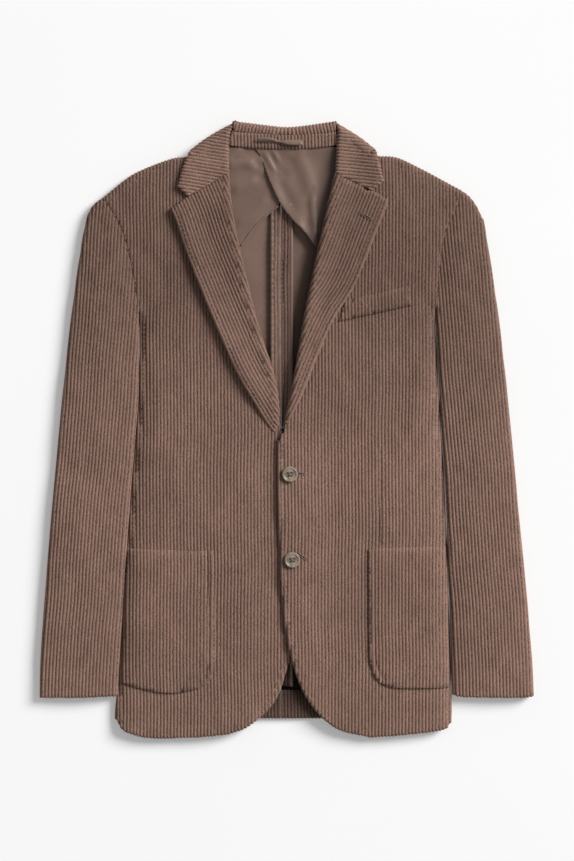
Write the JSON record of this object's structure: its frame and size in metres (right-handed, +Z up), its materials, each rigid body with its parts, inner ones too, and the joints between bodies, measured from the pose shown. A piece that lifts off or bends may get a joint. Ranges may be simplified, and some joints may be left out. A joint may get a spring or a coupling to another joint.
{
  "type": "corduroy jacket",
  "caption": "Single-breasted wide-wale corduroy jacket with notch lapels, patch pockets and a slanted breast welt, laid flat.",
  "frame": {"origin": "on the table, under the middle of the jacket's outline", "axes": "+Y from the hem to the collar, +X to the right of someone looking down on the front, +Z up from the table"},
  "size_m": [0.6376, 0.7959, 0.0154],
  "materials": {
    "corduroy": "wide-wale cotton corduroy, brushed pile",
    "lining": "soft satin lining",
    "tape": "satin tape",
    "button": "horn-look resin, half matt"
  },
  "bodies": {
    "root": {"front_left": "corduroy", "front_right": "corduroy", "facing_left": "corduroy", "facing_right": "corduroy", "back_left": "corduroy", "back_right": "corduroy", "back_allowance_left": "corduroy", "back_allowance_right": "corduroy", "side_left": "corduroy", "side_right": "corduroy", "sleeve_top_left": "corduroy", "sleeve_top_right": "corduroy", "sleeve_under_left": "corduroy", "sleeve_under_right": "corduroy", "collar_fall": "corduroy", "collar_stand": "corduroy", "pocket_left": "corduroy", "pocket_right": "corduroy", "breast_welt": "corduroy", "lining_left": "lining", "lining_right": "lining", "hanger_loop": "tape", "button_upper": "button", "button_lower": "button"}
  },
  "joints": []
}
